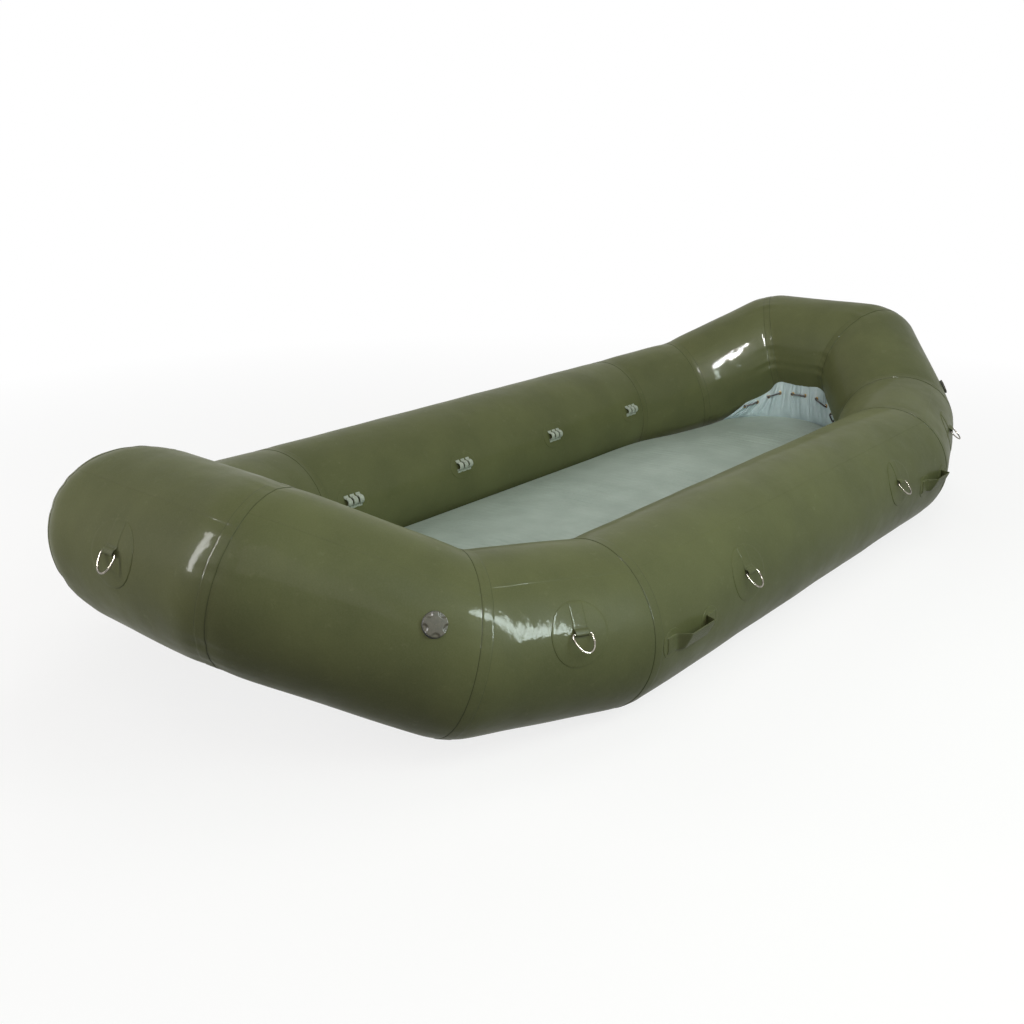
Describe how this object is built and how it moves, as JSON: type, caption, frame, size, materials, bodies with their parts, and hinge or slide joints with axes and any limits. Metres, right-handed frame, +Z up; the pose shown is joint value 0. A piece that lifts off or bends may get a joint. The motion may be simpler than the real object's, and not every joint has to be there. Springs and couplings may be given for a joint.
{
  "type": "whitewater raft",
  "caption": "Inflatable whitewater raft: mitred air tube ring with upswept ends, laced self bailing floor, D rings, carry handles, thwart loops and inflation valves.",
  "frame": {"origin": "middle of the footprint, on the surface that the side tubes rest on", "axes": "+X along the raft towards the bow, +Y to port, +Z up"},
  "size_m": [4.3814, 2.0642, 0.7936],
  "materials": {
    "tube_green": "glossy urethane coated fabric, olive green",
    "patch_green": "urethane coated patch and webbing, green",
    "floor_grey": "satin coated fabric, grey green",
    "curtain_blue": "matt coated fabric, light blue grey",
    "cord_black": "braided cord, black",
    "stainless": "polished stainless steel",
    "loop_grey": "coated webbing, light grey",
    "cap_grey": "moulded plastic, grey",
    "valve_dark": "moulded plastic, dark green grey"
  },
  "bodies": {
    "hull": {"side_tube_port": "tube_green", "side_tube_starboard": "tube_green", "end_tube_bow": "tube_green", "shoulder_tube_bow_port": "tube_green", "quarter_tube_bow_port": "tube_green", "shoulder_tube_bow_starboard": "tube_green", "quarter_tube_bow_starboard": "tube_green", "end_tube_stern": "tube_green", "shoulder_tube_stern_port": "tube_green", "quarter_tube_stern_port": "tube_green", "shoulder_tube_stern_starboard": "tube_green", "quarter_tube_stern_starboard": "tube_green", "ring_patch_side_bow_port": "patch_green", "ring_patch_side_stern_port": "patch_green", "ring_patch_side_bow_starboard": "patch_green", "ring_patch_side_stern_starboard": "patch_green", "ring_patch_bow": "patch_green", "ring_patch_shoulder_bow_port": "patch_green", "ring_patch_shoulder_bow_starboard": "patch_green", "ring_patch_stern": "patch_green", "ring_patch_shoulder_stern_port": "patch_green", "ring_patch_shoulder_stern_starboard": "patch_green", "carry_handle_bow_port": "patch_green", "valve_body_bow_port": "valve_dark", "carry_handle_bow_starboard": "patch_green", "valve_body_bow_starboard": "valve_dark", "carry_handle_stern_port": "patch_green", "valve_body_stern_port": "valve_dark", "carry_handle_stern_starboard": "patch_green", "valve_body_stern_starboard": "valve_dark", "thwart_loop_port_1": "loop_grey", "thwart_loop_port_2": "loop_grey", "thwart_loop_port_3": "loop_grey", "thwart_loop_port_4": "loop_grey", "thwart_loop_starboard_1": "loop_grey", "thwart_loop_starboard_2": "loop_grey", "thwart_loop_starboard_3": "loop_grey", "thwart_loop_starboard_4": "loop_grey", "floor": "floor_grey", "lacing_curtain_bow": "curtain_blue", "lacing_curtain_stern": "curtain_blue", "floor_lacing_cord": "cord_black"},
    "d_ring_side_bow_port": {"d_ring_side_bow_port": "stainless"},
    "d_ring_side_stern_port": {"d_ring_side_stern_port": "stainless"},
    "d_ring_side_bow_starboard": {"d_ring_side_bow_starboard": "stainless"},
    "d_ring_side_stern_starboard": {"d_ring_side_stern_starboard": "stainless"},
    "d_ring_bow": {"d_ring_bow": "stainless"},
    "d_ring_shoulder_bow_port": {"d_ring_shoulder_bow_port": "stainless"},
    "d_ring_shoulder_bow_starboard": {"d_ring_shoulder_bow_starboard": "stainless"},
    "d_ring_stern": {"d_ring_stern": "stainless"},
    "d_ring_shoulder_stern_port": {"d_ring_shoulder_stern_port": "stainless"},
    "d_ring_shoulder_stern_starboard": {"d_ring_shoulder_stern_starboard": "stainless"},
    "valve_cap_bow_port": {"valve_cap_bow_port": "cap_grey"},
    "valve_plunger_bow_port": {"valve_plunger_bow_port": "cap_grey"},
    "valve_cap_bow_starboard": {"valve_cap_bow_starboard": "cap_grey"},
    "valve_plunger_bow_starboard": {"valve_plunger_bow_starboard": "cap_grey"},
    "valve_cap_stern_port": {"valve_cap_stern_port": "cap_grey"},
    "valve_plunger_stern_port": {"valve_plunger_stern_port": "cap_grey"},
    "valve_cap_stern_starboard": {"valve_cap_stern_starboard": "cap_grey"},
    "valve_plunger_stern_starboard": {"valve_plunger_stern_starboard": "cap_grey"}
  },
  "joints": [
    {"name": "ring_swing_side_bow_port", "type": "hinge", "parent": "hull", "child": "d_ring_side_bow_port", "pos_m": [0.595, 0.98778, 0.33526], "axis": [1, 0, 0], "range_deg": [-22, 150]},
    {"name": "ring_swing_side_stern_port", "type": "hinge", "parent": "hull", "child": "d_ring_side_stern_port", "pos_m": [-0.595, 0.98778, 0.33526], "axis": [1, 0, 0], "range_deg": [-22, 150]},
    {"name": "ring_swing_side_bow_starboard", "type": "hinge", "parent": "hull", "child": "d_ring_side_bow_starboard", "pos_m": [0.595, -0.98778, 0.33526], "axis": [-1, 0, 0], "range_deg": [-22, 150]},
    {"name": "ring_swing_side_stern_starboard", "type": "hinge", "parent": "hull", "child": "d_ring_side_stern_starboard", "pos_m": [-0.595, -0.98778, 0.33526], "axis": [-1, 0, 0], "range_deg": [-22, 150]},
    {"name": "ring_swing_bow", "type": "hinge", "parent": "hull", "child": "d_ring_bow", "pos_m": [2.15849, 0, 0.61566], "axis": [0, -1, 0], "range_deg": [-22, 150]},
    {"name": "ring_swing_shoulder_bow_port", "type": "hinge", "parent": "hull", "child": "d_ring_shoulder_bow_port", "pos_m": [1.35605, 0.90269, 0.37479], "axis": [0.9455, -0.3043, 0.1164], "range_deg": [-22, 150]},
    {"name": "ring_swing_shoulder_bow_starboard", "type": "hinge", "parent": "hull", "child": "d_ring_shoulder_bow_starboard", "pos_m": [1.35605, -0.90269, 0.37479], "axis": [-0.9455, -0.3043, -0.1164], "range_deg": [-22, 150]},
    {"name": "ring_swing_stern", "type": "hinge", "parent": "hull", "child": "d_ring_stern", "pos_m": [-2.15849, 0, 0.61566], "axis": [0, 1, 0], "range_deg": [-22, 150]},
    {"name": "ring_swing_shoulder_stern_port", "type": "hinge", "parent": "hull", "child": "d_ring_shoulder_stern_port", "pos_m": [-1.35605, 0.90269, 0.37479], "axis": [0.9455, 0.3043, -0.1164], "range_deg": [-22, 150]},
    {"name": "ring_swing_shoulder_stern_starboard", "type": "hinge", "parent": "hull", "child": "d_ring_shoulder_stern_starboard", "pos_m": [-1.35605, -0.90269, 0.37479], "axis": [-0.9455, 0.3043, 0.1164], "range_deg": [-22, 150]},
    {"name": "cap_turn_bow_port", "type": "hinge", "parent": "hull", "child": "valve_cap_bow_port", "pos_m": [1.71816, 0.7162, 0.47489], "axis": [0.4228, 0.7823, 0.4575], "range_deg": [0, 120]},
    {"name": "plunger_push_bow_port", "type": "slide", "parent": "hull", "child": "valve_plunger_bow_port", "axis": [-0.4228, -0.7823, -0.4575], "range_m": [0, 0.006], "stiffness_N_per_m": 500},
    {"name": "cap_turn_bow_starboard", "type": "hinge", "parent": "hull", "child": "valve_cap_bow_starboard", "pos_m": [1.71816, -0.7162, 0.47489], "axis": [0.4228, -0.7823, 0.4575], "range_deg": [0, 120]},
    {"name": "plunger_push_bow_starboard", "type": "slide", "parent": "hull", "child": "valve_plunger_bow_starboard", "axis": [-0.4228, 0.7823, -0.4575], "range_m": [0, 0.006], "stiffness_N_per_m": 500},
    {"name": "cap_turn_stern_port", "type": "hinge", "parent": "hull", "child": "valve_cap_stern_port", "pos_m": [-1.71816, 0.7162, 0.47489], "axis": [-0.4228, 0.7823, 0.4575], "range_deg": [0, 120]},
    {"name": "plunger_push_stern_port", "type": "slide", "parent": "hull", "child": "valve_plunger_stern_port", "axis": [0.4228, -0.7823, -0.4575], "range_m": [0, 0.006], "stiffness_N_per_m": 500},
    {"name": "cap_turn_stern_starboard", "type": "hinge", "parent": "hull", "child": "valve_cap_stern_starboard", "pos_m": [-1.71816, -0.7162, 0.47489], "axis": [-0.4228, -0.7823, 0.4575], "range_deg": [0, 120]},
    {"name": "plunger_push_stern_starboard", "type": "slide", "parent": "hull", "child": "valve_plunger_stern_starboard", "axis": [0.4228, 0.7823, -0.4575], "range_m": [0, 0.006], "stiffness_N_per_m": 500}
  ]
}
